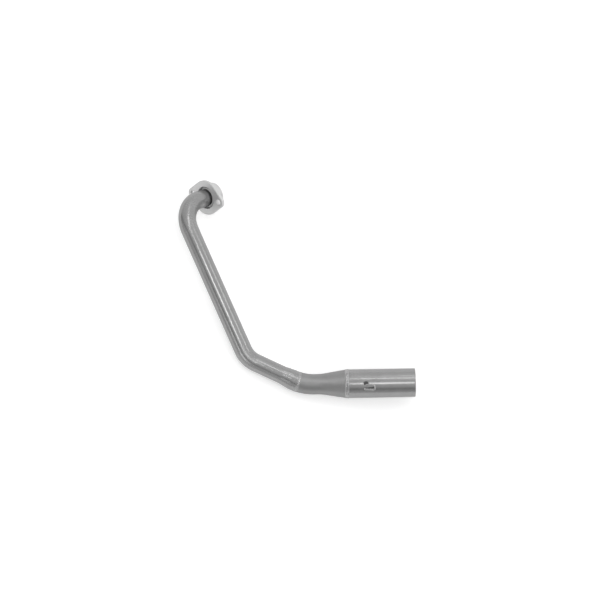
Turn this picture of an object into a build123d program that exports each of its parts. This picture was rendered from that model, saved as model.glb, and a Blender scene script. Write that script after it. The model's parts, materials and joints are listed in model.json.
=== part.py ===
"""Exhaust header pipe for a small motorbike, lying on the floor as it would come to rest.

A bent tube carries the gas from the cylinder head. A collar is welded round its port end, and a
loose two-hole flange behind the collar clamps it to the head. At the other end the tube is
flared and welded to a bent reducer cone, which is welded to a straight outlet tube. A wire
hook on the outlet tube holds the silencer's spring.

All sizes are in millimetres. The origin is the centre of the port seat, the collar's end face.
+Z points up from the floor, and +X points along the outlet tube, seen from above.
"""
import os
from math import cos, radians, sin, tan

from build123d import *

# Bent tube: its section, and the distances between the corners of its centreline
tube_od = 28.0
tube_wall = 1.5
bend_radius = 40.0
stub_length = 77.6
leg_length = 260.4
short_leg_length = 95.7

# Directions in degrees. The leg, the short leg and the outlet tube lie in one plane, where the
# first three angles are counted from the outlet tube's axis. The port end leans out of it.
leg_angle = 67.0
short_leg_angle = 25.9
port_heading_angle = 20.3
port_lean_angle = 46.4

# Flared end of the bent tube, and the bent reducer cone that it is welded to
flare_od = 31.8
flare_length = 17.5
third_bend_radius = 79.0
front_weld_distance = 9.0
cone_wall = 1.5
cone_straight_length = 10.8
cone_length = 40.0
cone_rounding_radius = 90.0

# Outlet tube
outlet_od = 45.0
outlet_wall = 1.5
outlet_length = 106.5

# Collar on the port end, and the weld that holds it
collar_od = 41.0
collar_length = 15.0
collar_chamfer = 0.8
collar_slip_gap = 0.05
collar_weld_leg = 2.2

# Loose flange behind the collar
flange_gap = 0.3
flange_thickness = 5.0
flange_waist_radius = 27.9
flange_lobe_radius = 9.5
flange_bore_radius = 17.5
flange_turn_angle = 58.0
flange_edge_radius = 0.9
stud_spacing = 57.0
stud_hole_radius = 4.5

# Weld beads: width along the pipe, height of the crown over the tube's surface, and the hair's
# breadth by which the front bead's straight seat clears the bend under it
front_bead_width = 4.4
front_bead_height = 0.6
rear_bead_width = 6.0
rear_bead_height = 0.6
bead_seat_gap = 0.05

# Spring hook: a loop of wire that rises from the outlet tube towards its closed end
wire_diameter = 3.0
hook_width = 7.2
hook_length = 15.0
hook_corner_radius = 2.6
hook_rise_angle = 15.0
hook_end_distance = 78.0
hook_turn_angle = 10.5
hook_foot_depth = 0.3
hook_weld_radius = 2.3
hook_weld_length = 6.6
hook_weld_overlap = 3.6

tube_radius = tube_od / 2
flare_radius = flare_od / 2
outlet_radius = outlet_od / 2
collar_radius = collar_od / 2
wire_radius = wire_diameter / 2


def heading(drop):
    """Direction in the pipe's own plane that drops by this angle from the outlet tube's axis."""
    return Vector(cos(radians(drop)), -sin(radians(drop)), 0)


def floor_under(rings):
    """Normal of the plane that three rings stand on, each given as centre, axis and radius.

    A ring's lowest point depends on which way is up, so the plane is settled in a few turns.
    """
    up = Vector(0, 0, 1)
    for _ in range(40):
        feet = []
        for centre, axis, radius in rings:
            feet.append(centre - (up - axis * up.dot(axis)).normalized() * radius)
        up = (feet[1] - feet[0]).cross(feet[2] - feet[0]).normalized()
    return up


# Centreline in the pipe's own plane, from the centre of the port seat
lean = radians(port_lean_angle)
swing = radians(port_heading_angle)
own_port_direction = Vector(-sin(lean) * cos(swing), -sin(lean) * sin(swing), cos(lean))
own_corner_1 = own_port_direction * stub_length
own_corner_2 = own_corner_1 + heading(leg_angle) * leg_length
own_corner_3 = own_corner_2 + heading(short_leg_angle) * short_leg_length
third_bend_cut = third_bend_radius * tan(radians(short_leg_angle / 2))
own_bend_start = own_corner_3 - heading(short_leg_angle) * third_bend_cut
own_bend_end = own_corner_3 + heading(0) * third_bend_cut
own_rear_weld = own_bend_end + heading(0) * (cone_straight_length + cone_length)
own_outlet_end = own_rear_weld + heading(0) * outlet_length

# The pipe lies on the collar's rim and the crowns of its two ring welds
own_third_bend = TangentArc(own_bend_start, own_bend_end, tangent=heading(short_leg_angle))
weld_share = front_weld_distance / own_third_bend.length
floor_normal = floor_under(
    [
        (own_port_direction * collar_chamfer, own_port_direction, collar_radius),
        (own_third_bend @ weld_share, own_third_bend % weld_share, flare_radius + front_bead_height),
        (own_rear_weld, heading(0), outlet_radius + rear_bead_height),
    ]
)
lying = Plane(
    origin=(0, 0, 0),
    x_dir=heading(0) - floor_normal * floor_normal.dot(heading(0)),
    z_dir=floor_normal,
)
port = lying.to_local_coords(Vector(0, 0, 0))
corner_1 = lying.to_local_coords(own_corner_1)
corner_2 = lying.to_local_coords(own_corner_2)
bend_start = lying.to_local_coords(own_bend_start)
bend_end = lying.to_local_coords(own_bend_end)
rear_weld_centre = lying.to_local_coords(own_rear_weld)
outlet_end = lying.to_local_coords(own_outlet_end)

port_direction = (corner_1 - port).normalized()
short_leg_direction = (bend_start - corner_2).normalized()
outlet_direction = (outlet_end - rear_weld_centre).normalized()
pipe_up = outlet_direction.cross(short_leg_direction).normalized() * -1
port_side = port_direction.cross(pipe_up).normalized()
flare_start = bend_start - short_leg_direction * flare_length

third_bend = TangentArc(bend_start, bend_end, tangent=short_leg_direction)
front_weld_centre = third_bend @ weld_share
front_weld_direction = third_bend % weld_share


def across(point, direction, x_direction=pipe_up):
    """Plane through a point of the centreline, square to the pipe there."""
    return Plane(origin=point, x_dir=x_direction, z_dir=direction)


def along(point, direction, outwards=pipe_up):
    """Plane through the centreline, with X along the pipe and Y outwards, for turned profiles."""
    return Plane(origin=point, x_dir=direction, z_dir=direction.cross(outwards))


def tube_section(plane, radius, wall):
    """Section of a tube on the given plane."""
    with BuildSketch(plane) as section:
        Circle(radius)
        Circle(radius - wall, mode=Mode.SUBTRACT)
    return section.sketch


with BuildPart() as header_tube:
    with BuildLine() as tube_line:
        FilletPolyline(port, corner_1, corner_2, flare_start, radius=bend_radius)
    port_section = tube_section(across(port, port_direction, port_side), tube_radius, tube_wall)
    sweep(port_section, path=tube_line.wire())
    with BuildSketch(along(flare_start, short_leg_direction)):
        with BuildLine():
            Polyline(
                (0, tube_radius),
                (flare_length, flare_radius),
                (flare_length, flare_radius - tube_wall),
                (0, tube_radius - tube_wall),
                close=True,
            )
        make_face()
    revolve(axis=Axis(flare_start, short_leg_direction))
    flare_section = tube_section(across(bend_start, short_leg_direction), flare_radius, tube_wall)
    sweep(flare_section, path=third_bend.trim(0, weld_share))
header_tube.part.label = "header_tube"

with BuildPart() as reducer_cone:
    cone_section = tube_section(across(front_weld_centre, front_weld_direction), flare_radius, cone_wall)
    sweep(cone_section, path=third_bend.trim(weld_share, 1))
    with BuildSketch(along(bend_end, outlet_direction)):
        with BuildLine():
            cone_end = cone_straight_length + cone_length
            outside = FilletPolyline(
                (0, flare_radius),
                (cone_straight_length, flare_radius),
                (cone_end, outlet_radius),
                radius=cone_rounding_radius,
            )
            inside = FilletPolyline(
                (0, flare_radius - cone_wall),
                (cone_straight_length, flare_radius - cone_wall),
                (cone_end, outlet_radius - cone_wall),
                radius=cone_rounding_radius + cone_wall,
            )
            Line(outside @ 0, inside @ 0)
            Line(outside @ 1, inside @ 1)
        make_face()
    revolve(axis=Axis(bend_end, outlet_direction))
reducer_cone.part.label = "reducer_cone"

with BuildPart() as outlet_tube:
    add(tube_section(across(rear_weld_centre, outlet_direction), outlet_radius, outlet_wall))
    extrude(amount=outlet_length, dir=outlet_direction)
outlet_tube.part.label = "outlet_tube"

with BuildPart() as port_collar:
    with BuildSketch(across(port, port_direction, port_side)):
        Circle(collar_radius)
        Circle(tube_radius + collar_slip_gap, mode=Mode.SUBTRACT)
    extrude(amount=collar_length, dir=port_direction)
    chamfer(port_collar.edges().filter_by(GeomType.CIRCLE).group_by(SortBy.RADIUS)[-1], collar_chamfer)
port_collar.part.label = "port_collar"

with BuildPart() as collar_weld:
    collar_back = port + port_direction * collar_length
    with BuildSketch(along(collar_back, port_direction, port_side)):
        with BuildLine():
            Polyline(
                (0, tube_radius + collar_weld_leg),
                (0, tube_radius + collar_slip_gap),
                (collar_weld_leg, tube_radius + collar_slip_gap),
            )
            RadiusArc(
                (collar_weld_leg, tube_radius + collar_slip_gap),
                (0, tube_radius + collar_weld_leg),
                3 * collar_weld_leg,
            )
        make_face()
    revolve(axis=Axis(collar_back, port_direction))
collar_weld.part.label = "collar_weld"

with BuildPart() as port_flange:
    flange_back = port + port_direction * (collar_length + flange_gap)
    stud_line = port_side.rotate(Axis((0, 0, 0), port_direction), flange_turn_angle)
    with BuildSketch(across(flange_back, port_direction, stud_line)):
        Circle(flange_waist_radius)
        with GridLocations(stud_spacing, 0, 2, 1):
            Circle(flange_lobe_radius)
        make_hull()
        Circle(flange_bore_radius, mode=Mode.SUBTRACT)
        with GridLocations(stud_spacing, 0, 2, 1):
            Circle(stud_hole_radius, mode=Mode.SUBTRACT)
    extrude(amount=flange_thickness, dir=port_direction)
    faces_by_height = port_flange.faces().filter_by(GeomType.PLANE).sort_by(Axis(port, port_direction))
    for flange_face in (faces_by_height[0], faces_by_height[-1]):
        fillet(flange_face.outer_wire().edges(), flange_edge_radius)
port_flange.part.label = "port_flange"

with BuildPart() as front_weld:
    with BuildSketch(along(front_weld_centre, front_weld_direction)):
        front_seat_radius = flare_radius + bead_seat_gap
        with BuildLine():
            Line((-front_bead_width / 2, front_seat_radius), (front_bead_width / 2, front_seat_radius))
            ThreePointArc(
                (-front_bead_width / 2, front_seat_radius),
                (0, flare_radius + front_bead_height),
                (front_bead_width / 2, front_seat_radius),
            )
        make_face()
    revolve(axis=Axis(front_weld_centre, front_weld_direction))
front_weld.part.label = "front_weld"

with BuildPart() as rear_weld:
    with BuildSketch(along(rear_weld_centre, outlet_direction)):
        cone_slope = (outlet_radius - flare_radius) / cone_length
        with BuildLine():
            Polyline(
                (-rear_bead_width / 2, outlet_radius - cone_slope * rear_bead_width / 2),
                (0, outlet_radius),
                (rear_bead_width / 2, outlet_radius),
            )
            ThreePointArc(
                (-rear_bead_width / 2, outlet_radius - cone_slope * rear_bead_width / 2),
                (0, outlet_radius + rear_bead_height),
                (rear_bead_width / 2, outlet_radius),
            )
        make_face()
    revolve(axis=Axis(rear_weld_centre, outlet_direction))
rear_weld.part.label = "rear_weld"

# The hook's own plane: X towards its closed end, rising from the outlet tube
hook_out = pipe_up.rotate(Axis((0, 0, 0), outlet_direction), hook_turn_angle)
hook_foot_radius = outlet_radius + wire_radius - hook_foot_depth
hook_foot = outlet_end - outlet_direction * hook_end_distance + hook_out * hook_foot_radius
rise = radians(hook_rise_angle)
hook_plane = Plane(
    origin=hook_foot,
    x_dir=outlet_direction * cos(rise) + hook_out * sin(rise),
    z_dir=hook_out * cos(rise) - outlet_direction * sin(rise),
)

with BuildPart() as spring_hook:
    with BuildLine(hook_plane) as wire_line:
        FilletPolyline(
            (0, -hook_width / 2),
            (hook_length, -hook_width / 2),
            (hook_length, hook_width / 2),
            (0, hook_width / 2),
            radius=hook_corner_radius,
        )
    with BuildSketch(Plane(origin=wire_line.wire() @ 0, z_dir=wire_line.wire() % 0)):
        Circle(wire_radius)
    sweep(path=wire_line.wire())
    with BuildSketch(across(rear_weld_centre, outlet_direction)):
        Circle(outlet_radius)
    extrude(amount=outlet_length, dir=outlet_direction, mode=Mode.SUBTRACT)
spring_hook.part.label = "spring_hook"

with BuildPart() as hook_welds:
    for leg_side in (-1, 1):
        leg_foot = hook_plane.from_local_coords(Vector(0, leg_side * hook_width / 2, 0))
        from_axis = leg_foot - outlet_end
        from_axis = from_axis - outlet_direction * from_axis.dot(outlet_direction)
        toe = leg_foot - from_axis.normalized() * (from_axis.length - outlet_radius)
        toe = toe + outlet_direction * (hook_weld_overlap - hook_weld_radius)
        barrel = hook_weld_length - 2 * hook_weld_radius
        with BuildSketch(Plane(origin=toe, x_dir=from_axis, z_dir=outlet_direction * -1)):
            Circle(hook_weld_radius)
        extrude(amount=barrel, dir=outlet_direction * -1)
        for cap in (toe, toe - outlet_direction * barrel):
            with Locations(cap):
                Sphere(hook_weld_radius)
    add(spring_hook.part, mode=Mode.SUBTRACT)
    with BuildSketch(across(rear_weld_centre, outlet_direction)):
        Circle(outlet_radius)
    extrude(amount=outlet_length, dir=outlet_direction, mode=Mode.SUBTRACT)
hook_welds.part.label = "hook_welds"

os.makedirs("parts", exist_ok=True)
pieces = [
    header_tube,
    reducer_cone,
    outlet_tube,
    port_collar,
    collar_weld,
    port_flange,
    front_weld,
    rear_weld,
    spring_hook,
    hook_welds,
]
for piece in pieces:
    export_step(piece.part, f"parts/{piece.part.label}.step")
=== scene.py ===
"""The looks of the exhaust header pipe: tubes, cone, flange, collar, welds and hook, lying in a white studio.

Lengths are in metres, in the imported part's own frame. Every surface is worked out with numpy from
the sizes below and from the part's mounts, and carried along the centreline of the pipe.
"""

import json
from math import acos, atan2, ceil, cos, pi, radians, sin, tan

import bpy
import numpy as np
from mathutils import Matrix, Vector
from mathutils.geometry import tessellate_polygon


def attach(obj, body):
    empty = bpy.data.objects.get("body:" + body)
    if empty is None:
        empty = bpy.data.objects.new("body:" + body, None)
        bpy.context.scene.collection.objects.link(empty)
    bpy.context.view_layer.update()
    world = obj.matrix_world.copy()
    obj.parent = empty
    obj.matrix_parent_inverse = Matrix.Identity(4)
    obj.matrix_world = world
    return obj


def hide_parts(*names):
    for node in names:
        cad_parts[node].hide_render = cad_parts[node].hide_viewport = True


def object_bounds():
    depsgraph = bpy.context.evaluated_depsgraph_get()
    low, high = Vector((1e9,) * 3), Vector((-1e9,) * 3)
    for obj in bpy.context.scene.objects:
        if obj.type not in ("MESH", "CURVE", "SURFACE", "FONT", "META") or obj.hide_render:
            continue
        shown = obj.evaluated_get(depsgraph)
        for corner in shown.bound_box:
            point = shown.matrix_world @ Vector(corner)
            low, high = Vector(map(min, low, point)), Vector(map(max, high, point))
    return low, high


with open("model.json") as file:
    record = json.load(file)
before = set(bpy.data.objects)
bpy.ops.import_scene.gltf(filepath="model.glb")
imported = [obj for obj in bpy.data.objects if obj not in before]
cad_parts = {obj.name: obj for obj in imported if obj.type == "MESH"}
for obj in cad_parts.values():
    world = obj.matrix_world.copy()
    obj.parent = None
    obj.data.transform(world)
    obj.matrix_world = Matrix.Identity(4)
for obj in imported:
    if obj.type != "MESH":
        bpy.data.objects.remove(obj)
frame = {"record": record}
cad_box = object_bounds()
mm = 0.001

# Bent tube and its directions
tube_radius = 14.0 * mm
tube_wall = 1.5 * mm
bend_radius = 40.0 * mm
bend_fade = 7.0 * mm
stub_length = 77.6 * mm
leg_length = 260.4 * mm
short_leg_length = 95.7 * mm
leg_angle = radians(67.0)
short_leg_angle = radians(25.9)
port_heading_angle = radians(20.3)
port_lean_angle = radians(46.4)

# Flared end, reducer cone and outlet tube
flare_radius = 15.9 * mm
flare_length = 17.5 * mm
third_bend_radius = 79.0 * mm
front_weld_distance = 9.0 * mm
cone_straight_length = 10.8 * mm
cone_length = 40.0 * mm
cone_rounding_radius = 90.0 * mm
outlet_radius = 22.5 * mm
outlet_length = 106.5 * mm
lip_radius = 0.3 * mm

# Collar, loose flange and the weld behind it
collar_radius = 20.5 * mm
collar_bore_radius = 14.05 * mm
collar_length = 15.0 * mm
collar_chamfer = 0.8 * mm
collar_bevel = 0.12 * mm
collar_weld_leg = 2.2 * mm
collar_weld_length = 3.4 * mm
flange_gap = 0.3 * mm
flange_thickness = 5.0 * mm
flange_waist_radius = 27.9 * mm
flange_lobe_radius = 9.5 * mm
flange_bore_radius = 17.5 * mm
flange_turn_angle = radians(58.0)
flange_edge_radius = 1.5 * mm
flange_bore_edge_radius = 1.1 * mm
flange_hole_edge_radius = 0.5 * mm
stud_spacing = 57.0 * mm
stud_hole_radius = 4.5 * mm

# Ring welds
front_bead_width = 4.4 * mm
rear_bead_width = 6.0 * mm
bead_height = 0.6 * mm
bead_root_depth = 0.5 * mm
bead_dip = 0.7
joint_bow_size = 2.6 * mm
joint_bow_reach = 12.0 * mm
bead_ripple_pitch = 1.7 * mm
bead_ripple_height = 0.11 * mm
bead_dip_width = 0.4
bead_crescent_curve = 2.4
bead_width_wobble = 0.07
bead_height_wobble = 0.08
bead_crescent_wobble = 0.9

# Fillet weld behind the collar
fillet_overlap = 0.1 * mm
fillet_root_depth = 0.4 * mm
fillet_power = 0.8
fillet_ripple = 0.04
fillet_crescent_curve = 1.6

# Spring hook
wire_radius = 1.5 * mm
hook_width = 7.2 * mm
hook_length = 15.0 * mm
hook_corner_radius = 2.6 * mm
hook_rise_angle = radians(15.0)
hook_end_distance = 78.0 * mm
hook_turn_angle = radians(10.5)
hook_foot_depth = 0.3 * mm
hook_weld_radius = 2.3 * mm
hook_weld_length = 4.6 * mm
hook_weld_overlap = 1.6 * mm
# The upper foot's weld is shifted, wider and longer than the lower one, so that it also covers a patch of
# painted shade beside the hook.
upper_weld_shift = 2.2 * mm
upper_weld_radius = 3.1 * mm
upper_weld_length = 7.6 * mm
upper_weld_overlap = 4.6 * mm
wire_end_length = 0.4 * mm
hook_ripple_pitch = 1.3 * mm
hook_ripple = 0.045
hook_ripple_wobble = 1.2
dome_start_angle = 0.02

# The photograph's view of the pipe's plane: scale, camera distance and middle of the picture
pixel = 1.5608 * mm
camera_distance = 1900 * pixel
picture_width = 600 * pixel
corner_3_right = 2.64 * pixel
corner_3_below = 84.45 * pixel
outlet_rise_angle = radians(0.955)
sensor_width = 36.0
view_reach = 50


def unit(vector):
    """The vector scaled to length one."""
    return vector / np.linalg.norm(vector)


def turned(vector, axis, angle):
    """The vector turned about a unit axis by the right-hand rule, for one angle or an array of them.

    The part along the axis stays, and the rest is mixed by cosine and sine with its own cross
    product with the axis.
    """
    angle = np.asarray(angle, float)[..., None]
    kept = axis * (axis @ vector)
    return kept + (vector - kept) * np.cos(angle) + np.cross(axis, vector) * np.sin(angle)


# Places and directions from the part's mounts
mounts = {mount["name"]: mount for mount in frame["record"]["mounts"]}
port = np.array(mounts["port_bore"]["pos_m"], float)
port_direction = -unit(np.array(mounts["port_bore"]["axis"], float))
outlet_direction = unit(np.array(mounts["outlet"]["axis"], float))
port_rise = port_direction - outlet_direction * (port_direction @ outlet_direction)
port_swing = atan2(sin(port_lean_angle) * sin(port_heading_angle), cos(port_lean_angle))
pipe_up = turned(unit(port_rise), outlet_direction, -port_swing)
pipe_side = np.cross(pipe_up, outlet_direction)
port_side = unit(np.cross(port_direction, pipe_up))


def heading(angle):
    """Direction in the pipe's own plane that drops by this angle from the outlet tube's axis."""
    return outlet_direction * cos(angle) - pipe_side * sin(angle)


corner_1 = port + port_direction * stub_length
corner_2 = corner_1 + heading(leg_angle) * leg_length
corner_3 = corner_2 + heading(short_leg_angle) * short_leg_length
third_bend_cut = third_bend_radius * tan(short_leg_angle / 2)
rear_weld_centre = corner_3 + outlet_direction * (third_bend_cut + cone_straight_length + cone_length)
outlet_end = rear_weld_centre + outlet_direction * outlet_length


def bent_path(corners, radii, side, spacing=0.25 * mm):
    """Centreline of straight runs joined by tangent arcs, as closely spaced stations.

    Along a run the point moves by its length times the direction. Along an arc the point, the
    direction and the side direction all turn about the arc's axis, which is square to both runs,
    so that a section carried along the path doesn't twist.
    """
    point = corners[0]
    direction = unit(corners[1] - corners[0])
    side = unit(side - direction * (side @ direction))
    travelled = 0.0
    rows = {"station": [], "centre": [], "along": [], "side": [], "bent": []}

    def add(station, centre, along, across, bent):
        rows["station"].append(station)
        rows["centre"].append(centre)
        rows["along"].append(np.broadcast_to(along, centre.shape))
        rows["side"].append(np.broadcast_to(across, centre.shape))
        rows["bent"].append(np.full(len(station), float(bent)))

    for corner, after, radius in zip(corners[1:], corners[2:], radii):
        onward = unit(after - corner)
        turn = acos(direction @ onward)
        axis = unit(np.cross(direction, onward))
        run = np.linalg.norm(corner - point) - radius * tan(turn / 2)
        steps = np.linspace(0, run, ceil(run / spacing), endpoint=False)
        add(travelled + steps, point + steps[:, None] * direction, direction, side, False)
        travelled += run
        arc_start = point + direction * run
        centre = arc_start + np.cross(axis, direction) * radius
        angles = np.linspace(0, turn, ceil(radius * turn / spacing), endpoint=False)
        arc = centre + turned(arc_start - centre, axis, angles)
        directions = turned(direction, axis, angles)
        add(travelled + radius * angles, arc, directions, turned(side, axis, angles), True)
        travelled += radius * turn
        point = centre + turned(arc_start - centre, axis, turn)
        side = turned(side, axis, turn)
        direction = onward
    run = np.linalg.norm(corners[-1] - point)
    steps = np.linspace(0, run, ceil(run / spacing) + 1)
    add(travelled + steps, point + steps[:, None] * direction, direction, side, False)
    path = {key: np.concatenate(parts) for key, parts in rows.items()}
    reach = round(bend_fade / spacing)
    padded = np.pad(path["bent"], reach, mode="edge")
    path["bent"] = np.convolve(padded, np.ones(2 * reach + 1) / (2 * reach + 1), mode="valid")
    return path


def follow(path, station):
    """Centre, side and third direction of the path at these stations, and how far each is in a bend."""
    flat = np.asarray(station, float).ravel()

    def read(key):
        columns = [np.interp(flat, path["station"], column) for column in path[key].T]
        return np.stack(columns, -1).reshape(*np.shape(station), 3)

    side = read("side")
    third = np.cross(read("along"), side)
    bent = np.interp(flat, path["station"], path["bent"]).reshape(np.shape(station))
    return read("centre"), side, third, bent


pipe_path = bent_path(
    [port, corner_1, corner_2, corner_3, outlet_end], [bend_radius, bend_radius, third_bend_radius], port_side
)
pipe_length = pipe_path["station"][-1]
rear_weld_station = pipe_length - outlet_length
cone_start_station = rear_weld_station - cone_length
third_bend_start = cone_start_station - cone_straight_length - third_bend_radius * short_leg_angle
front_weld_station = third_bend_start + front_weld_distance
_, joint_side, joint_third, _ = follow(pipe_path, front_weld_station)
joint_bow_angle = atan2(joint_third @ pipe_up, joint_side @ pipe_up)


def outside_radius(station):
    """Outer radius of the pipe at these stations.

    It is the tube's radius, then a straight flare, then the cone: a circular arc that leaves the
    flared radius and meets the cone's straight slope half way out of its corner, then that slope,
    and at last the outlet tube's radius.
    """
    slope = (outlet_radius - flare_radius) / cone_length
    rounding = cone_rounding_radius * tan(atan2(slope, 1) / 2)
    from_cone = np.asarray(station, float) - cone_start_station
    arc = np.clip(from_cone + rounding, 0, None)
    reach = rounding * (1 + cos(atan2(slope, 1)))
    rounded = cone_rounding_radius - np.sqrt(cone_rounding_radius**2 - np.clip(arc, 0, reach) ** 2)
    cone = np.where(arc < reach, flare_radius + rounded, flare_radius + slope * from_cone)
    stops = [third_bend_start - flare_length, third_bend_start]
    flare = np.interp(station, stops, [tube_radius, flare_radius])
    return np.where(from_cone > -rounding, np.minimum(cone, outlet_radius), flare)


def grid_faces(rows, columns, closed_rows):
    """Quads between neighbouring points of a grid whose columns close on themselves.

    Each quad also gives the row and the unwrapped column of its four corners, for its UV map.
    """
    row = np.arange(rows if closed_rows else rows - 1)[:, None] + np.zeros(columns, int)
    column = np.zeros_like(row) + np.arange(columns)
    corner_rows = np.stack([row, row + 1, row + 1, row], -1).reshape(-1, 4)
    corner_columns = np.stack([column, column, column + 1, column + 1], -1).reshape(-1, 4)
    return (corner_rows % rows) * columns + corner_columns % columns, corner_rows % rows, corner_columns


def joint_bow(station, angle):
    """How far the front joint strays along the pipe: a smooth bump on the side that faces up.

    It is a bell curve of the distance from the joint, times the squared cosine of the angle from
    straight up wherever that cosine is positive.
    """
    near = np.exp(-(((station - front_weld_station) / joint_bow_reach) ** 2))
    facing_up = np.clip(np.cos(angle - joint_bow_angle), 0, None) ** 2
    return joint_bow_size * near * facing_up


def carried_round(path, station, radius, rounds=128, closed=True):
    """Surface carried along a path and round it.

    The point at station s and angle a is the path's centre at s, plus the radius times the side
    direction turned by a. Both arrays have a row for each ring and one column, or one for each
    angle. With closed, the last ring joins the first, as on a tube's wall. Otherwise each end ring
    is filled by a fan round its middle.
    """
    station = np.broadcast_to(station, np.broadcast_shapes(np.shape(station), (1, rounds)))
    radius = np.broadcast_to(radius, station.shape)
    angle = np.arange(rounds) * 2 * pi / rounds + np.zeros_like(station)
    if path is pipe_path:
        radius = radius + outside_radius(station + joint_bow(station, angle)) - outside_radius(station)
        station = station + joint_bow(station, angle)
    centre, side, third, bent = follow(path, station)
    across = side * np.cos(angle)[..., None] + third * np.sin(angle)[..., None]
    points = (centre + radius[..., None] * across).reshape(-1, 3)
    unrolled = np.stack([radius * np.cos(angle), radius * np.sin(angle), station], -1).reshape(-1, 3)
    faces, rows, columns = grid_faces(*station.shape, closed)
    largest_radius = float(radius.max())
    uv = np.stack([station[rows, columns % rounds], columns * 2 * pi / rounds * largest_radius], -1)
    fans = []
    if not closed:
        ends = [points[:rounds].mean(0), points[-rounds:].mean(0)]
        middles = [unrolled[:rounds].mean(0), unrolled[-rounds:].mean(0)]
        first = np.arange(rounds)
        last = len(points) - rounds + first
        fans = [
            np.stack([np.full(rounds, len(points)), first, np.roll(first, -1)], -1),
            np.stack([np.full(rounds, len(points) + 1), np.roll(last, -1), last], -1),
        ]
        points = np.concatenate([points, ends])
        unrolled = np.concatenate([unrolled, middles])
        bent = np.append(bent.ravel(), [0, 0])
    return {
        "points": points,
        "faces": faces,
        "fans": fans,
        "uv": uv,
        "unrolled": unrolled,
        "bent": bent.ravel(),
    }


def volume_sign(points, faces):
    """Sign of the space inside closed faces: positive where they face outwards.

    It adds up the signed tetrahedra between the origin and each triangle of a fan on each face.
    """
    total = 0.0
    for k in range(1, faces.shape[1] - 1):
        a, b, c = points[faces[:, 0]], points[faces[:, k]], points[faces[:, k + 1]]
        total += np.einsum("ij,ij->i", a, np.cross(b, c)).sum()
    return np.sign(total)


def make_piece(name, surfaces, material, body, nodes):
    """One object from one or more closed surfaces, riding on a body in place of its CAD nodes."""
    vertices, faces, uv, unrolled, bent = [], [], [], [], []
    for surface in surfaces:
        quads, quad_uv, fans = surface["faces"], surface["uv"], surface["fans"]
        if volume_sign(surface["points"], quads) < 0:
            quads, quad_uv = quads[:, ::-1], quad_uv[:, ::-1]
            fans = [fan[:, ::-1] for fan in fans]
        start = sum(len(part) for part in vertices)
        faces += (quads + start).tolist()
        uv.append(quad_uv.reshape(-1, 2))
        for fan in fans:
            faces += (fan + start).tolist()
            uv.append(np.zeros((fan.size, 2)))
        vertices.append(surface["points"])
        unrolled.append(surface["unrolled"])
        bent.append(surface["bent"])
    mesh = bpy.data.meshes.new(name)
    mesh.from_pydata(np.concatenate(vertices).tolist(), [], faces)
    layer = mesh.uv_layers.new(name="unrolled_map")
    layer.data.foreach_set("uv", np.concatenate(uv).ravel().astype(np.float32))
    place = mesh.attributes.new("unrolled", "FLOAT_VECTOR", "POINT")
    place.data.foreach_set("vector", np.concatenate(unrolled).ravel().astype(np.float32))
    bend = mesh.attributes.new("bent", "FLOAT", "POINT")
    bend.data.foreach_set("value", np.concatenate(bent).astype(np.float32))
    mesh.validate()
    mesh.shade_smooth()
    mesh.materials.append(material)
    piece = bpy.data.objects.new(name, mesh)
    bpy.context.scene.collection.objects.link(piece)
    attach(piece, body)
    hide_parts(*nodes)
    return piece


def spread(start, end, spacing):
    """Evenly spaced stations from start to end, about the spacing apart."""
    return np.linspace(start, end, max(2, round(abs(end - start) / spacing) + 1))


def wall_section(stations, wall, lip=lip_radius, steps=4):
    """Closed section of a tube's wall: outside, rounded end, inside, rounded start.

    The outside follows outside_radius, the inside lies one wall deeper, and each corner is a
    quarter circle of the lip's radius.
    """
    quarter = np.linspace(0, pi / 2, steps + 1)
    start, end = stations[0], stations[-1]
    inner = stations[(stations > start + lip) & (stations < end - lip)]
    end_radius, start_radius = outside_radius(end), outside_radius(start)
    section = [
        (inner, outside_radius(inner)),
        (end - lip + lip * np.sin(quarter), end_radius - lip + lip * np.cos(quarter)),
        (end - lip + lip * np.cos(quarter), end_radius - wall + lip - lip * np.sin(quarter)),
        (inner[::-1], outside_radius(inner[::-1]) - wall),
        (start + lip - lip * np.sin(quarter), start_radius - wall + lip - lip * np.cos(quarter)),
        (start + lip - lip * np.cos(quarter), start_radius - lip + lip * np.sin(quarter)),
    ]
    station = np.concatenate([part[0] for part in section])
    radius = np.concatenate([part[1] for part in section])
    return station[:, None], radius[:, None]


def uneven(rounds, size, seed, waves=9):
    """A smooth closed wobble round a ring: a sum of sine waves of falling height."""
    random = np.random.default_rng(seed)
    angle = np.arange(rounds) * 2 * pi / rounds
    counts = np.arange(2, 2 + waves)
    phases = random.uniform(0, 2 * pi, waves)
    return size * (np.sin(counts[:, None] * angle + phases[:, None]) / np.sqrt(counts)[:, None]).sum(0) / 2


def weld_ring(station, width, seed, rounds=576, rows=23):
    """Ring weld on the pipe: a bead with overlapping crescents, on a root sunk in the wall.

    Across the bead, with x from -1 to 1, the height is one less the fourth power of x, times one
    less a bell-shaped dip at the middle, so that both edges stand proud. Round it, a cosine of the
    angle and of the square of x makes the crescents.
    """
    across = np.linspace(-1, 1, rows)[:, None]
    half_width = width / 2 * (1 + uneven(rounds, bead_width_wobble, seed))
    crown = (1 - across**4) * (1 - bead_dip * np.exp(-((across / bead_dip_width) ** 2)))
    crescents = round(2 * pi * outside_radius(station) / bead_ripple_pitch)
    angle = np.arange(rounds) * 2 * pi / rounds
    wobble = uneven(rounds, bead_crescent_wobble, seed + 1)
    ripple = np.cos(crescents * angle + bead_crescent_curve * across**2 + wobble)
    plain_lift = (bead_height - bead_ripple_height) * (1 + uneven(rounds, bead_height_wobble, seed + 2))
    lift = plain_lift + bead_ripple_height * ripple
    stations = station + across * half_width
    top = outside_radius(stations) + crown * np.clip(lift, 0, bead_height)
    root = outside_radius(stations[::-1]) - bead_root_depth
    section = np.concatenate([stations, stations[::-1]])
    return carried_round(pipe_path, section, np.concatenate([top, root]), rounds)


def straight_path(start, end, side):
    """A path of one straight run."""
    return bent_path([start, end], [], side)


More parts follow.
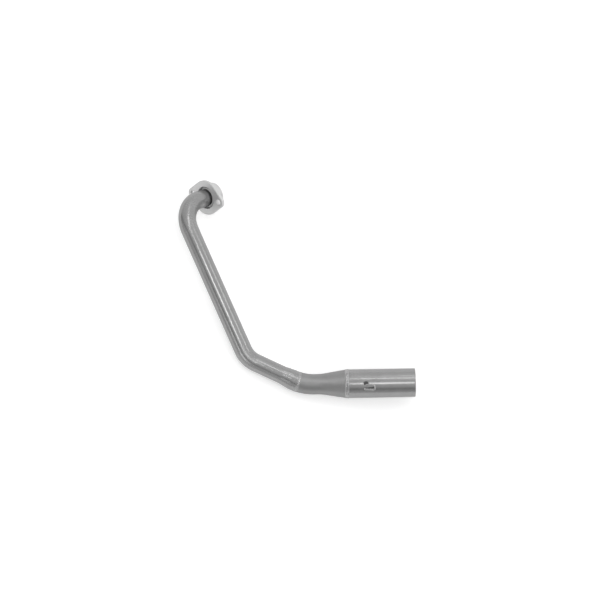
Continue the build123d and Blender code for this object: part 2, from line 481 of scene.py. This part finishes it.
def bar_section(length, radius, power, steps=10, spacing=0.4 * mm, end_length=None):
    """Stations and radii of a bar with domed ends; a higher power makes blunter domes."""
    end_length = end_length or radius
    quarter = np.linspace(dome_start_angle, pi / 2, steps)
    dome = radius * np.sin(quarter) ** (2 / power)
    reach = end_length * (1 - np.cos(quarter))
    middle = spread(end_length, length - end_length, spacing)[1:-1]
    station = np.concatenate([reach, middle, (length - reach)[::-1]])
    radii = np.concatenate([dome, np.full(len(middle), radius), dome[::-1]])
    return station[:, None], radii[:, None]


def shader_node(tree, kind, **inputs):
    """New shader node with its unlinked inputs set."""
    node = tree.nodes.new(kind)
    for name, value in inputs.items():
        node.inputs[name.replace("_", " ")].default_value = value
    return node


def pattern(tree, source, scale, detail, roughness=0.55):
    """Noise read at scaled coordinates, so that it can be stretched along the pipe or round it."""
    mapping = shader_node(tree, "ShaderNodeMapping", Scale=scale)
    noise = shader_node(tree, "ShaderNodeTexNoise", Scale=1.0, Detail=detail, Roughness=roughness)
    tree.links.new(source, mapping.inputs["Vector"])
    tree.links.new(mapping.outputs["Vector"], noise.inputs["Vector"])
    return noise.outputs["Fac"]


def levels(tree, source, low, high, out_low, out_high):
    """The source's range from low to high, stretched to another range and held there."""
    node = shader_node(
        tree, "ShaderNodeMapRange", From_Min=low, From_Max=high, To_Min=out_low, To_Max=out_high
    )
    tree.links.new(source, node.inputs["Value"])
    return node.outputs["Result"]


def combined(tree, operation, first, second):
    """Two values joined by a sum, a product or another operation."""
    node = tree.nodes.new("ShaderNodeMath")
    node.operation = operation
    for socket, value in zip(node.inputs, (first, second)):
        if isinstance(value, (int, float)):
            socket.default_value = value
        else:
            tree.links.new(value, socket)
    return node.outputs[0]


def grey_between(tree, factor, dark, light):
    """Grey between two grey levels by a factor; the numbered sockets are the node's colours."""
    node = tree.nodes.new("ShaderNodeMix")
    node.data_type = "RGBA"
    node.inputs[6].default_value = (dark, dark, dark, 1)
    node.inputs[7].default_value = (light, light, light, 1)
    tree.links.new(factor, node.inputs[0])
    return node.outputs[2]


# Steel: the noise's usual range, the grain's share of the tone, the tone's usual range, and the
# tint where the light grazes
noise_range = (0.3, 0.7)
grain_share = 0.45
tone_range = (0.1, 0.9)
grazing_level = 0.8


def metal(name, greys, roughness, grain, blotch, grain_height, stretch=0.0, bend_dulling=0.0):
    """Steel with a fine grain and soft uneven patches.

    The grain is noise stretched by its three scales, and the patches are noise of the blotch's
    scale. Both move the colour between its two greys, and the roughness between its two values.
    The stretch draws highlights out along the pipe, and bends may be duller.
    """
    material = bpy.data.materials.new(name)
    material.use_nodes = True
    tree = material.node_tree
    shader = tree.nodes["Principled BSDF"]
    shader.inputs["Metallic"].default_value = 1.0
    shader.inputs["Specular Tint"].default_value = (grazing_level, grazing_level, grazing_level, 1)
    shader.inputs["Anisotropic"].default_value = stretch
    source = tree.nodes.new("ShaderNodeAttribute")
    source.attribute_name = "unrolled"
    place = source.outputs["Vector"]
    fine = pattern(tree, place, grain, detail=3.0)
    patches = pattern(tree, place, (blotch, blotch, blotch), detail=4.0)
    grain_tone = levels(tree, fine, *noise_range, 0, grain_share)
    patch_tone = levels(tree, patches, *noise_range, 0, 1 - grain_share)
    tone = combined(tree, "ADD", grain_tone, patch_tone)
    tree.links.new(grey_between(tree, tone, *greys), shader.inputs["Base Color"])
    dullness = levels(tree, tone, *tone_range, *roughness)
    if bend_dulling:
        bent = tree.nodes.new("ShaderNodeAttribute")
        bent.attribute_name = "bent"
        added = combined(tree, "MULTIPLY", bent.outputs["Fac"], bend_dulling)
        dullness = combined(tree, "ADD", dullness, added)
    tree.links.new(dullness, shader.inputs["Roughness"])
    bump = shader_node(tree, "ShaderNodeBump", Strength=1.0, Distance=grain_height)
    tree.links.new(fine, bump.inputs["Height"])
    tree.links.new(bump.outputs["Normal"], shader.inputs["Normal"])
    if stretch:
        tangent = tree.nodes.new("ShaderNodeTangent")
        tangent.direction_type = "UV_MAP"
        tangent.uv_map = "unrolled_map"
        tree.links.new(tangent.outputs["Tangent"], shader.inputs["Tangent"])
    return material


ground_tube = metal(
    "ground_tube", greys=(0.262, 0.312), roughness=(0.2, 0.27), grain=(200, 200, 4200),
    blotch=55, grain_height=0.0015 * mm, stretch=0.15, bend_dulling=0.03,
)
pickled_cone = metal(
    "pickled_cone", greys=(0.235, 0.285), roughness=(0.36, 0.46), grain=(1500, 1500, 1500),
    blotch=90, grain_height=0.004 * mm,
)
blasted_flange = metal(
    "blasted_flange", greys=(0.56, 0.68), roughness=(0.52, 0.66), grain=(1900, 1900, 1900),
    blotch=120, grain_height=0.012 * mm,
)
turned_collar = metal(
    "turned_collar", greys=(0.5, 0.62), roughness=(0.26, 0.36), grain=(60, 60, 4200),
    blotch=120, grain_height=0.006 * mm, stretch=0.4,
)
weld_metal = metal(
    "weld_metal", greys=(0.22, 0.46), roughness=(0.12, 0.24), grain=(900, 900, 900),
    blotch=260, grain_height=0.004 * mm,
)
# Near-black steel for the upper foot's weld: painted shade, the hook's shadow and dark reflection on the
# outlet tube.
scaled_weld = metal(
    "scaled_weld", greys=(0.05, 0.13), roughness=(0.4, 0.6), grain=(900, 900, 900),
    blotch=260, grain_height=0.004 * mm,
)
drawn_wire = metal(
    "drawn_wire", greys=(0.3, 0.42), roughness=(0.2, 0.3), grain=(2600, 2600, 160),
    blotch=200, grain_height=0.003 * mm,
)

# Distance between neighbouring rings of each surface
tube_spacing = 1.4 * mm
cone_spacing = 1.0 * mm
outlet_spacing = 2.0 * mm
collar_spacing = 1.0 * mm

# Bent tube
tube_stations = spread(0, front_weld_station, tube_spacing)
make_piece(
    "bent_tube", [carried_round(pipe_path, *wall_section(tube_stations, tube_wall), rounds=112)],
    ground_tube, "pipe", ["header_tube"],
)

# Reducer cone
cone_stations = spread(front_weld_station, rear_weld_station, cone_spacing)
make_piece(
    "cone", [carried_round(pipe_path, *wall_section(cone_stations, tube_wall), rounds=160)],
    pickled_cone, "pipe", ["reducer_cone"],
)

# Outlet tube
outlet_stations = spread(rear_weld_station, pipe_length, outlet_spacing)
make_piece(
    "straight_outlet", [carried_round(pipe_path, *wall_section(outlet_stations, tube_wall), rounds=192)],
    ground_tube, "pipe", ["outlet_tube"],
)

# Ring welds
make_piece(
    "front_ring_weld", [weld_ring(front_weld_station, front_bead_width, seed=3)],
    weld_metal, "pipe", ["front_weld"],
)
make_piece(
    "rear_ring_weld", [weld_ring(rear_weld_station, rear_bead_width, seed=8)],
    weld_metal, "pipe", ["rear_weld"],
)


def collar_section():
    """Closed section of the collar: a chamfer on both outer corners, and a small lip on the inner ones."""
    outer = spread(collar_chamfer, collar_length - collar_chamfer, collar_spacing)
    bore = outer[::-1]
    station = np.concatenate([outer, [collar_length, collar_length], bore, [0, 0]])
    face = collar_radius - collar_chamfer
    inner = collar_bore_radius + lip_radius
    radius = np.concatenate(
        [
            np.full(len(outer), collar_radius),
            [face, inner],
            np.full(len(bore), collar_bore_radius),
            [inner, face],
        ]
    )
    return station[:, None], radius[:, None]


def softened(piece, width, segments=2):
    """Rounds the sharp edges of a piece by a small bevel, and leaves its flat faces flat."""
    bevel = piece.modifiers.new("small_bevel", "BEVEL")
    bevel.width = width
    bevel.segments = segments
    bevel.limit_method = "ANGLE"
    bevel.harden_normals = True


# Collar and its weld
softened(
    make_piece(
        "collar", [carried_round(pipe_path, *collar_section(), rounds=160)],
        turned_collar, "pipe", ["port_collar"],
    ),
    collar_bevel,
)


def fillet_weld(rounds=480, rows=13):
    """Fillet weld in the corner between the collar's back and the tube, with crescents round it.

    Its section is a quarter of a blunt oval: cosine along the tube and sine away from it, both
    raised to a power below one.
    """
    sweep = np.linspace(0, pi / 2, rows)[:, None]
    crescents = round(2 * pi * tube_radius / bead_ripple_pitch)
    angle = np.arange(rounds) * 2 * pi / rounds
    phase = crescents * angle + fillet_crescent_curve * np.cos(2 * sweep)
    ripple = 1 - fillet_ripple * (1 - np.cos(phase)) * np.sin(2 * sweep)
    station = collar_length - fillet_overlap + collar_weld_length * np.cos(sweep) ** fillet_power * ripple
    radius = collar_bore_radius - fillet_overlap + collar_weld_leg * np.sin(sweep) ** fillet_power * ripple
    corner = np.full((1, rounds), 1.0)
    station = np.concatenate([station, corner * (collar_length - fillet_root_depth)])
    radius = np.concatenate([radius, corner * (collar_bore_radius - fillet_root_depth)])
    return carried_round(pipe_path, station, radius, rounds)


# The fillet weld takes the flange's pale steel: painted light that lightens the shaded gap inside the
# flange's bore.
make_piece("collar_fillet_weld", [fillet_weld()], blasted_flange, "pipe", ["collar_weld"])


def ring_loop(centre, radius, count):
    """Points of a circle in the flange's plane, and the directions that point out of the metal."""
    angle = np.arange(count) * 2 * pi / count
    outwards = np.stack([np.cos(angle), np.sin(angle)], -1)
    return centre + radius * outwards, -outwards


def flange_outline(count_waist=96, count_lobe=40):
    """The flange's outline: a waist circle and two lobe circles, joined by their common tangents.

    A tangent leaves both circles at the angle whose cosine is the difference of the radii over the
    distance of the centres, so each arc runs between two such angles.
    """
    half = stud_spacing / 2
    touch = acos((flange_waist_radius - flange_lobe_radius) / half)
    arcs = [
        ((half, 0), flange_lobe_radius, -touch, touch, count_lobe),
        ((0, 0), flange_waist_radius, touch, pi - touch, count_waist // 2),
        ((-half, 0), flange_lobe_radius, pi - touch, pi + touch, count_lobe),
        ((0, 0), flange_waist_radius, pi + touch, 2 * pi - touch, count_waist // 2),
    ]
    loops, normals = [], []
    for centre, radius, start, end, count in arcs:
        angle = np.linspace(start, end, count)
        outwards = np.stack([np.cos(angle), np.sin(angle)], -1)
        loops.append(np.array(centre) + radius * outwards)
        normals.append(outwards)
    return np.concatenate(loops), np.concatenate(normals)


def flange_surface(steps=5):
    """The flange plate: a rounded band along each loop, and flat faces between the loops.

    A band's point is the loop's point moved along its outward direction and through the thickness,
    by a quarter circle at each edge. The flat faces are the area inside the outline and outside
    the bore and the two stud holes.
    """
    half = np.array([stud_spacing / 2, 0])
    loops = [
        (*flange_outline(), flange_edge_radius),
        (*ring_loop(np.zeros(2), flange_bore_radius, count=128), flange_bore_edge_radius),
        (*ring_loop(half, stud_hole_radius, count=64), flange_hole_edge_radius),
        (*ring_loop(-half, stud_hole_radius, count=64), flange_hole_edge_radius),
    ]
    quarter = np.linspace(0, pi / 2, steps + 1)
    points, quads, lower, upper = [], [], [], []
    start = 0
    for loop, outwards, edge in loops:
        inset = np.concatenate([edge * (1 - np.sin(quarter)), edge * (1 - np.cos(quarter))])
        near_back = edge * (1 - np.cos(quarter))
        near_front = flange_thickness - edge * (1 - np.sin(quarter))
        height = np.concatenate([near_back, near_front])
        flat = loop[None] - inset[:, None, None] * outwards[None]
        depth = np.broadcast_to(height[:, None, None], (*flat.shape[:2], 1))
        points.append(np.concatenate([flat, depth], -1).reshape(-1, 3))
        band, _, _ = grid_faces(len(inset), len(loop), False)
        quads.append(band + start)
        lower.append(start + np.arange(len(loop)))
        upper.append(start + (len(inset) - 1) * len(loop) + np.arange(len(loop)))
        start += len(inset) * len(loop)
    points = np.concatenate(points)
    fans = []
    for rims, down in ((lower, True), (upper, False)):
        order = np.concatenate(rims)
        triangles = np.array(tessellate_polygon([[Vector(points[i]) for i in rim] for rim in rims]))
        corners = order[triangles]
        a, b, c = points[corners[:, 0], :2], points[corners[:, 1], :2], points[corners[:, 2], :2]
        facing_up = (b - a)[:, 0] * (c - a)[:, 1] - (b - a)[:, 1] * (c - a)[:, 0] > 0
        corners[facing_up == down] = corners[facing_up == down][:, ::-1]
        fans.append(corners)
    quads = np.concatenate(quads)
    long_axis = turned(port_side, port_direction, flange_turn_angle)
    axes = np.stack([long_axis, np.cross(port_direction, long_axis), port_direction])
    back = port + port_direction * (collar_length + flange_gap)
    return {"local": points, "points": back + points @ axes, "quads": quads, "flats": fans}


def make_flange():
    """The flange's object: its flat faces stay flat-shaded, and its bands are smooth."""
    surface = flange_surface()
    quads = surface["quads"]
    flats = np.concatenate(surface["flats"])
    mesh = bpy.data.meshes.new("flange")
    mesh.from_pydata(surface["points"].tolist(), [], quads.tolist() + flats.tolist())
    place = mesh.attributes.new("unrolled", "FLOAT_VECTOR", "POINT")
    place.data.foreach_set("vector", surface["local"].ravel().astype(np.float32))
    smooth = np.arange(len(mesh.polygons)) < len(quads)
    mesh.polygons.foreach_set("use_smooth", smooth)
    mesh.materials.append(blasted_flange)
    piece = bpy.data.objects.new("flange", mesh)
    bpy.context.scene.collection.objects.link(piece)
    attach(piece, "flange")
    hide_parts("port_flange")


make_flange()

# Spring hook: a wire loop that rises from the outlet tube, and a weld at each of its feet
hook_out = turned(pipe_up, outlet_direction, hook_turn_angle)
hook_across = np.cross(hook_out, outlet_direction)
hook_foot_radius = outlet_radius + wire_radius - hook_foot_depth
hook_foot = outlet_end - outlet_direction * hook_end_distance + hook_out * hook_foot_radius
hook_rise = outlet_direction * cos(hook_rise_angle) + hook_out * sin(hook_rise_angle)
foot_right = hook_foot - hook_across * hook_width / 2
foot_left = hook_foot + hook_across * hook_width / 2
hook_path = bent_path(
    [foot_right, foot_right + hook_rise * hook_length, foot_left + hook_rise * hook_length, foot_left],
    [hook_corner_radius, hook_corner_radius], hook_out, spacing=0.05 * mm,
)
wire_section = bar_section(hook_path["station"][-1], wire_radius, power=6.0, end_length=wire_end_length)
make_piece(
    "hook_wire", [carried_round(hook_path, *wire_section, rounds=48, closed=False)],
    drawn_wire, "pipe", ["spring_hook"],
)


def foot_weld(foot, radius, length, overlap, seed, rounds=64):
    """Weld at one foot of the hook: a domed bar on the outlet tube, with ripples along it."""
    from_axis = foot - outlet_end
    from_axis = from_axis - outlet_direction * (from_axis @ outlet_direction)
    seat = foot - unit(from_axis) * (np.linalg.norm(from_axis) - outlet_radius)
    toe = seat + outlet_direction * overlap
    heel = toe - outlet_direction * length
    station, radius = bar_section(length, radius, power=2.4, spacing=0.15 * mm, steps=14)
    wobble = uneven(rounds, hook_ripple_wobble, seed)
    ripple = 1 - hook_ripple * (1 + np.cos(2 * pi * station / hook_ripple_pitch + wobble))
    path = straight_path(heel, toe, unit(from_axis))
    return carried_round(path, station, radius * ripple, rounds, closed=False)


make_piece(
    "lower_hook_weld",
    [foot_weld(foot_right, hook_weld_radius, hook_weld_length, hook_weld_overlap, seed=21)],
    weld_metal, "pipe", ["hook_welds"],
)
# The upper foot's weld is a real weld plus painted shade: near black and stretched along the upper leg where
# the hook shades the outlet tube.
upper_foot = foot_left + hook_across * upper_weld_shift
make_piece(
    "upper_hook_weld_and_painted_shade",
    [foot_weld(upper_foot, upper_weld_radius, upper_weld_length, upper_weld_overlap, seed=34)],
    scaled_weld, "pipe", ["hook_welds"],
)

# Camera: the photograph's picture plane is the pipe's own plane, turned by the outlet's slight rise
view_right = turned(outlet_direction, pipe_up, -outlet_rise_angle)
view_up = np.cross(pipe_up, view_right)
picture_middle = corner_3 - view_right * corner_3_right + view_up * corner_3_below
camera_place = picture_middle + pipe_up * camera_distance


def facing(place, right, up, back):
    """Matrix of an object at a place, with its own X, Y and Z along right, up and back."""
    matrix = Matrix.Identity(4)
    for column, vector in enumerate((right, up, back, place)):
        for row in range(3):
            matrix[row][column] = vector[row]
    return matrix


camera_data = bpy.data.cameras.new("camera")
camera_data.sensor_width = sensor_width
camera_data.lens = sensor_width * camera_distance / picture_width
camera_data.clip_end = view_reach
camera = bpy.data.objects.new("camera", camera_data)
camera.matrix_world = facing(camera_place, view_right, view_up, pipe_up)
bpy.context.scene.collection.objects.link(camera)
bpy.context.scene.camera = camera

# Floor, at the height that the pipe lies on
floor_size = 12.0
floor_level = cad_box[0][2]
floor_grey = 0.8
floor_glow = 0.36


def white_floor():
    """Floor material: pale under the lamps, topped up to white where it is seen or mirrored."""
    material = bpy.data.materials.new("white_floor")
    material.use_nodes = True
    tree = material.node_tree
    tree.nodes.clear()
    output = tree.nodes.new("ShaderNodeOutputMaterial")
    pale = shader_node(tree, "ShaderNodeBsdfDiffuse", Color=(floor_grey, floor_grey, floor_grey, 1))
    glow = shader_node(tree, "ShaderNodeEmission", Color=(1, 1, 1, 1))
    both = tree.nodes.new("ShaderNodeAddShader")
    light_path = tree.nodes.new("ShaderNodeLightPath")
    seen = combined(tree, "MAXIMUM", light_path.outputs["Is Camera Ray"], light_path.outputs["Is Glossy Ray"])
    seen = combined(tree, "MAXIMUM", seen, light_path.outputs["Is Transmission Ray"])
    tree.links.new(combined(tree, "MULTIPLY", seen, floor_glow), glow.inputs["Strength"])
    tree.links.new(pale.outputs[0], both.inputs[0])
    tree.links.new(glow.outputs[0], both.inputs[1])
    tree.links.new(both.outputs[0], output.inputs["Surface"])
    return material


floor_mesh = bpy.data.meshes.new("floor")
half_floor = floor_size / 2
floor_mesh.from_pydata(
    [(x * half_floor, y * half_floor, floor_level) for x, y in ((-1, -1), (1, -1), (1, 1), (-1, 1))],
    [], [(0, 1, 2, 3)],
)
floor_mesh.materials.append(white_floor())
floor = bpy.data.objects.new("floor", floor_mesh)
bpy.context.scene.collection.objects.link(floor)

# World: a white room, lighter towards the picture's upper right, with a darker band at the lower left
room_levels = (0.76, 1.13)
band_direction = unit(0.725 * view_right + 0.688 * view_up)
band_start, band_end = -0.62, -0.26
band_blur = 0.16
band_depth = 0.5
world = bpy.data.worlds.new("white_room")
world.use_nodes = True
bpy.context.scene.world = world


def directional_level(tree, direction):
    """How far the direction that the world is seen in leans towards the given one, from -1 to 1."""
    source = tree.nodes.new("ShaderNodeTexCoord")
    lean = tree.nodes.new("ShaderNodeVectorMath")
    lean.operation = "DOT_PRODUCT"
    lean.inputs[1].default_value = direction
    tree.links.new(source.outputs["Generated"], lean.inputs[0])
    return lean.outputs["Value"]


def light_room(tree):
    """Sets the world's strength: a slow slope along one direction, less a soft-edged darker band."""
    background = tree.nodes["Background"]
    background.inputs["Color"].default_value = (1, 1, 1, 1)
    lean = directional_level(tree, band_direction)
    rising = levels(tree, lean, band_start, band_start + band_blur, 0, 1)
    falling = levels(tree, lean, band_end - band_blur, band_end, 1, 0)
    for ramp in (rising, falling):
        ramp.node.interpolation_type = "SMOOTHSTEP"
    band = combined(tree, "MULTIPLY", combined(tree, "MULTIPLY", rising, falling), -band_depth)
    slope = levels(tree, lean, -1, 1, *room_levels)
    tree.links.new(combined(tree, "ADD", slope, band), background.inputs["Strength"])


light_room(world.node_tree)

# Lamps: watts per square metre for a brightness of one
lamp_power = 4


def strip_lamp(name, start, end, height, width, brightness):
    """Strip of light, hidden from the camera, from one place in the picture to another.

    The places are metres to the right of and above the picture's middle, and the height is counted
    from the pipe's plane. The lamp's power goes with its brightness and with its area, so that a
    longer or wider lamp looks as bright.
    """
    ends = [
        picture_middle + view_right * right + view_up * up + pipe_up * height
        for right, up in (start, end)
    ]
    length = np.linalg.norm(ends[1] - ends[0])
    along = (ends[1] - ends[0]) / length
    lamp_data = bpy.data.lights.new(name, "AREA")
    lamp_data.shape = "RECTANGLE"
    lamp_data.size = length
    lamp_data.size_y = width
    lamp_data.energy = lamp_power * brightness * length * width
    lamp = bpy.data.objects.new(name, lamp_data)
    lamp.matrix_world = facing((ends[0] + ends[1]) / 2, along, np.cross(pipe_up, along), pipe_up)
    lamp.visible_camera = False
    bpy.context.scene.collection.objects.link(lamp)


strip_lamp("lamp_over_the_leg", (-0.131, 0.105), (-0.072, -0.066), height=0.25, width=0.028, brightness=3.7)
strip_lamp("lamp_over_the_first_bend", (-0.13, 0.165), (-0.01, 0.45), height=0.5, width=0.05, brightness=2.1)
strip_lamp(
    "lamp_over_the_second_bend", (-0.074, -0.093), (-0.043, -0.058), height=0.12, width=0.012, brightness=0.6
)
strip_lamp("lamp_over_the_outlet", (0.09, -0.117), (0.22, -0.117), height=0.4, width=0.048, brightness=3.1)
strip_lamp("far_lamp_outlet", (0.135, 1.64), (0.303, 1.64), height=2.0, width=0.3, brightness=4.4)
strip_lamp("far_lamp_short_leg", (0.574, 1.1), (0.6, 1.95), height=2.0, width=0.24, brightness=2.3)
strip_lamp("far_lamp_first_bend", (0.33, 1.25), (0.5, 2.1), height=1.0, width=0.25, brightness=1.1)
strip_lamp("side_lamp", (1.34, 0.85), (1.47, 0.52), height=1.0, width=0.4, brightness=2.3)
strip_lamp("low_lamp", (-1.1, -0.6), (-0.75, -0.8), height=1.0, width=0.5, brightness=1.6)

bpy.context.scene.view_settings.view_transform = "Standard"
